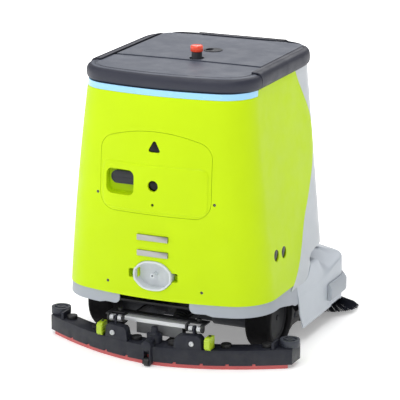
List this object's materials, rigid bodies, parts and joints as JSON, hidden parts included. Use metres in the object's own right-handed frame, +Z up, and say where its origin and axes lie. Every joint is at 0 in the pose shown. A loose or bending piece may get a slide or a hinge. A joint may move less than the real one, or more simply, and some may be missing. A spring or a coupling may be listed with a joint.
{
  "type": "robotic floor cleaner",
  "caption": "Floor-scrubbing robot: two-tone bowed body with hinged lid and rear door, drive wheels, casters, roller brushes, side brush and a lifting curved rear squeegee.",
  "frame": {"origin": "on the floor, at the centre of the overall box seen from above", "axes": "+Z up, +Y the way the robot drives, -Y to the squeegee, +X to the robot's right with the side brush"},
  "size_m": [0.628, 0.6684, 0.695],
  "materials": {
    "chassis": "satin black powder coat",
    "green_body": "semi-gloss lime moulding",
    "grey_body": "semi-gloss grey moulding",
    "pale_deck": "semi-gloss pale moulding",
    "bumper_grey": "soft matte",
    "cover_grey": "fine satin texture",
    "light_blue": "translucent diffuser",
    "dark_trim": "gloss black",
    "charge_metal": "brushed contact strip",
    "port_grey": "satin",
    "screw_steel": "zinc plated",
    "lidar_black": "gloss black window",
    "motor_metal": "cast housing",
    "black_plastic": "satin black",
    "battery_blue": "satin",
    "tank_white": "natural polyethylene",
    "cap_blue": "satin",
    "stop_red": "gloss",
    "green_door": "semi-gloss lime moulding",
    "tyre": "worn rubber",
    "hub_grey": "satin",
    "roller_grey": "satin rubber",
    "brush_fibre": "nylon bristle",
    "lift_dark": "satin powder coat",
    "bar_aluminium": "anodised",
    "spring_chrome": "bright",
    "squeegee_body": "satin blue-black moulding",
    "blade_red": "satin polyurethane",
    "latch_green": "semi-gloss",
    "hose_rubber": "ribbed rubber"
  },
  "bodies": {
    "machine": {"chassis_plate": "chassis", "rear_shell": "green_body", "front_shell": "grey_body", "deck": "pale_deck", "bumper": "bumper_grey", "rear_top_cover": "cover_grey", "top_rim": "cover_grey", "light_strip": "light_blue", "stop_base": "dark_trim", "visor": "dark_trim", "display": "dark_trim", "charge_bars": "charge_metal", "water_port": "port_grey", "shell_screws": "screw_steel", "sensor_windows": "dark_trim", "lidar": "lidar_black", "wheel_motors": "motor_metal", "brush_housing": "black_plastic", "brush_motor": "motor_metal", "side_brush_motor": "motor_metal", "lift_motor": "motor_metal", "battery_pack": "battery_blue", "clean_tank": "tank_white", "recovery_tank": "tank_white", "tank_caps": "cap_blue", "vacuum_motor": "black_plastic", "water_pump": "black_plastic", "controller_box": "black_plastic", "hinge_pins": "screw_steel", "suction_hose": "hose_rubber"},
    "lid": {"lid": "cover_grey"},
    "lid_latch": {"lid_latch": "dark_trim"},
    "stop_button": {"stop_button": "stop_red"},
    "rear_door": {"rear_door": "green_door", "door_windows": "lidar_black"},
    "door_latch": {"door_latch": "black_plastic"},
    "left_wheel": {"left_tyre": "tyre", "left_hub": "hub_grey"},
    "right_wheel": {"right_tyre": "tyre", "right_hub": "hub_grey"},
    "left_caster": {"left_caster_fork": "black_plastic"},
    "left_caster_roller": {"left_caster_wheel": "roller_grey"},
    "right_caster": {"right_caster_fork": "black_plastic"},
    "right_caster_roller": {"right_caster_wheel": "roller_grey"},
    "front_brush": {"front_brush": "brush_fibre"},
    "rear_brush": {"rear_brush": "brush_fibre"},
    "side_brush": {"side_brush_hub": "hub_grey", "side_brush_bristles": "brush_fibre"},
    "lift": {"lift_frame": "lift_dark", "lift_bar": "bar_aluminium", "torsion_springs": "spring_chrome"},
    "squeegee": {"squeegee_frame": "squeegee_body", "squeegee_blades": "blade_red", "squeegee_knobs": "black_plastic", "suction_nozzle": "black_plastic"},
    "left_roller": {"left_end_roller": "roller_grey"},
    "right_roller": {"right_end_roller": "roller_grey"},
    "left_latch": {"left_latch": "latch_green"},
    "right_latch": {"right_latch": "latch_green"},
    "squeegee_wheel": {"squeegee_wheel": "roller_grey"}
  },
  "joints": [
    {"name": "lid_hinge", "type": "hinge", "parent": "machine", "child": "lid", "pos_m": [0, 0.1765, 0.664], "axis": [-1, 0, 0], "range_deg": [0, 75]},
    {"name": "lid_latch_turn", "type": "hinge", "parent": "lid", "child": "lid_latch", "pos_m": [0.01, 0.022, 0.655], "axis": [0, 0, 1], "range_deg": [0, 90]},
    {"name": "stop_press", "type": "slide", "parent": "machine", "child": "stop_button", "axis": [0, 0, -1], "range_m": [0, 0.004], "stiffness_N_per_m": 800, "springref_m": -0.004},
    {"name": "door_hinge", "type": "hinge", "parent": "machine", "child": "rear_door", "pos_m": [0.168, -0.246, 0.442], "axis": [0, 0.0694, 0.9976], "range_deg": [0, 66]},
    {"name": "door_latch_pull", "type": "hinge", "parent": "rear_door", "child": "door_latch", "pos_m": [-0.053, -0.268, 0.42], "axis": [0, 0, 1], "range_deg": [0, 18], "stiffness_Nm_per_rad": 0.2, "springref_deg": -11.46},
    {"name": "left_wheel_spin", "type": "hinge", "parent": "machine", "child": "left_wheel", "pos_m": [-0.201, -0.09, 0.075], "axis": [1, 0, 0], "continuous": true},
    {"name": "right_wheel_spin", "type": "hinge", "parent": "machine", "child": "right_wheel", "pos_m": [0.201, -0.09, 0.075], "axis": [1, 0, 0], "continuous": true},
    {"name": "left_caster_swivel", "type": "hinge", "parent": "machine", "child": "left_caster", "pos_m": [-0.086, 0.262, 0.1], "axis": [0, 0, 1], "continuous": true},
    {"name": "left_caster_roll", "type": "hinge", "parent": "left_caster", "child": "left_caster_roller", "pos_m": [-0.086, 0.244, 0.03], "axis": [1, 0, 0], "continuous": true},
    {"name": "right_caster_swivel", "type": "hinge", "parent": "machine", "child": "right_caster", "pos_m": [0.086, 0.262, 0.1], "axis": [0, 0, 1], "continuous": true},
    {"name": "right_caster_roll", "type": "hinge", "parent": "right_caster", "child": "right_caster_roller", "pos_m": [0.086, 0.244, 0.03], "axis": [1, 0, 0], "continuous": true},
    {"name": "front_brush_spin", "type": "hinge", "parent": "machine", "child": "front_brush", "pos_m": [0, 0.122, 0.0425], "axis": [1, 0, 0], "continuous": true},
    {"name": "rear_brush_spin", "type": "hinge", "parent": "machine", "child": "rear_brush", "pos_m": [0, 0.036, 0.0425], "axis": [1, 0, 0], "continuous": true},
    {"name": "side_brush_spin", "type": "hinge", "parent": "machine", "child": "side_brush", "pos_m": [0.214, 0.238, 0.00712], "axis": [0, 0.0872, 0.9962], "continuous": true},
    {"name": "squeegee_lift", "type": "hinge", "parent": "machine", "child": "lift", "pos_m": [0, -0.142, 0.096], "axis": [-1, 0, 0], "range_deg": [0, 9], "deforming": ["suction_hose"]},
    {"name": "squeegee_pitch", "type": "hinge", "parent": "lift", "child": "squeegee", "pos_m": [0, -0.278, 0.089], "axis": [-1, 0, 0], "range_deg": [0, 6], "stiffness_Nm_per_rad": 20, "springref_deg": -5.73},
    {"name": "left_roller_spin", "type": "hinge", "parent": "squeegee", "child": "left_roller", "pos_m": [-0.291, -0.183, 0.054], "axis": [0, 0, 1], "continuous": true},
    {"name": "right_roller_spin", "type": "hinge", "parent": "squeegee", "child": "right_roller", "pos_m": [0.291, -0.183, 0.054], "axis": [0, 0, 1], "continuous": true},
    {"name": "right_latch_turn", "type": "hinge", "parent": "squeegee", "child": "right_latch", "pos_m": [0.135, -0.277, 0.06], "axis": [0, 0, 1], "range_deg": [0, 60]},
    {"name": "left_latch_turn", "type": "hinge", "parent": "squeegee", "child": "left_latch", "pos_m": [-0.135, -0.277, 0.06], "axis": [0, 0, -1], "range_deg": [0, 60]},
    {"name": "squeegee_wheel_spin", "type": "hinge", "parent": "squeegee", "child": "squeegee_wheel", "pos_m": [0, -0.322, 0.0106], "axis": [1, 0, 0], "continuous": true}
  ],
  "couplings": [
    {"joint": "rear_brush_spin", "follows": "front_brush_spin", "ratio": -1}
  ]
}
